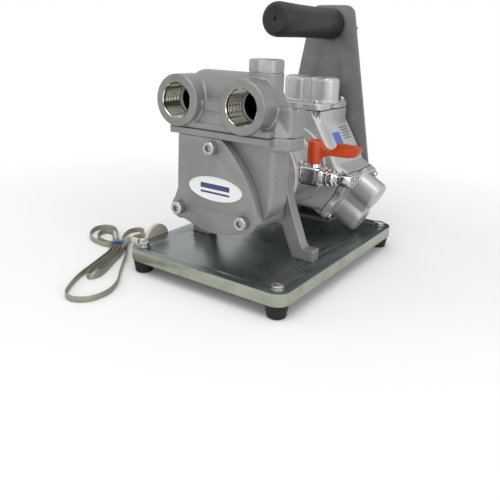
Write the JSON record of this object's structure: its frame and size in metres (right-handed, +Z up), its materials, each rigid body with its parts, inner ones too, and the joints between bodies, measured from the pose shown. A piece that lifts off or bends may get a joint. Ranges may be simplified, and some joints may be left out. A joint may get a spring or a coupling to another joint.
{
  "type": "portable air-driven transfer pump",
  "caption": "Portable gear pump for oil or fuel, driven by a radial air motor, on a footed base plate with a carrying handle, an air inlet ball valve and a bonding strap.",
  "frame": {"origin": "on the floor below the middle of the base plate", "axes": "+X across the base plate towards the air inlet, +Y along the shaft from the pump towards the handle bracket, +Z up"},
  "size_m": [0.3099, 0.3374, 0.281],
  "materials": {
    "zinc_plate": "smooth grey-green plated steel plate, satin",
    "black_rubber": "matt black moulded rubber",
    "bright_steel": "bright zinc-plated steel",
    "dark_steel": "dark machined steel",
    "grey_casting": "silver-grey sand-cast surface, machined on the faces",
    "light_casting": "light grey sand-cast aluminium, satin",
    "gasket_paper": "dull dark gasket sheet",
    "badge_white": "white enamelled thin plate, bare",
    "bronze": "plain bearing bronze",
    "red_spider": "red elastic coupling star",
    "machined_steel": "turned grey metal",
    "sintered_bronze": "rough sintered bronze",
    "chrome_plate": "bright nickel or chrome plating",
    "white_seat": "white PTFE",
    "orange_lever": "orange-red powder coat",
    "grey_paint": "grey satin paint on sheet steel",
    "black_grip": "black satin moulded rubber",
    "label_white": "white adhesive label, bare",
    "tinned_copper": "tinned crimp lug",
    "braid": "flat tinned copper braid, silvery with an olive tint",
    "blue_tie": "blue plastic tie",
    "magnet_nickel": "dull plated round magnet"
  },
  "bodies": {
    "frame": {"base_plate": "zinc_plate", "rubber_feet": "black_rubber", "foot_screws": "bright_steel", "foot_washers": "bright_steel", "pump_stand": "grey_casting", "stand_screws": "dark_steel", "pump_body": "grey_casting", "cover_gasket": "gasket_paper", "front_cover": "grey_casting", "cover_screws": "bright_steel", "badge_plate": "badge_white", "front_bush": "bronze", "rear_bush": "bronze", "shaft_seal": "black_rubber", "motor_bearing": "bright_steel", "port_manifold": "grey_casting", "manifold_gasket": "gasket_paper", "manifold_screws": "bright_steel", "relief_cap": "machined_steel", "relief_washer": "bronze", "relief_spring": "dark_steel", "motor_housing": "light_casting", "housing_screws": "bright_steel", "motor_crankcase": "light_casting", "cylinder_head_top": "light_casting", "cylinder_head_right": "light_casting", "cylinder_head_left": "light_casting", "head_gaskets": "gasket_paper", "head_screws": "bright_steel", "motor_rear_cover": "light_casting", "exhaust_silencer": "sintered_bronze", "inlet_nipple": "bright_steel", "valve_body": "chrome_plate", "valve_seats": "white_seat", "air_plug": "chrome_plate", "handle_bracket": "grey_paint", "bracket_screws": "dark_steel", "handle_bolt": "dark_steel", "handle_nut": "bright_steel", "handle_grip": "black_grip", "grip_end_cap": "black_grip", "data_label": "label_white", "strap_lug": "tinned_copper", "bonding_strap": "braid", "strap_tie": "blue_tie", "strap_magnet": "magnet_nickel"},
    "shaft": {"drive_shaft": "bright_steel", "rotor_key": "dark_steel", "inner_rotor": "dark_steel", "pump_hub": "dark_steel", "motor_hub": "dark_steel", "coupling_spider": "red_spider", "motor_shaft": "bright_steel"},
    "ring": {"outer_rotor": "dark_steel"},
    "valve": {"valve_lever": "orange_lever", "valve_stem": "bright_steel", "valve_ball": "chrome_plate", "lever_nut": "bright_steel"},
    "relief": {"relief_poppet": "bright_steel"}
  },
  "joints": [
    {"name": "shaft_spin", "type": "hinge", "parent": "frame", "child": "shaft", "pos_m": [0, 0, 0.103], "axis": [0, 1, 0], "continuous": true},
    {"name": "ring_spin", "type": "hinge", "parent": "frame", "child": "ring", "pos_m": [0, 0, 0.1002], "axis": [0, 1, 0], "continuous": true},
    {"name": "valve_turn", "type": "hinge", "parent": "frame", "child": "valve", "pos_m": [0.0475, 0.003, 0.115], "axis": [0, 0, 1], "range_deg": [-90, 0]},
    {"name": "relief_lift", "type": "slide", "parent": "frame", "child": "relief", "axis": [0, 0, 1], "range_m": [0, 0.004], "stiffness_N_per_m": 3000, "deforming": ["relief_spring"]}
  ],
  "couplings": [
    {"joint": "ring_spin", "follows": "shaft_spin", "ratio": 0.85714}
  ]
}
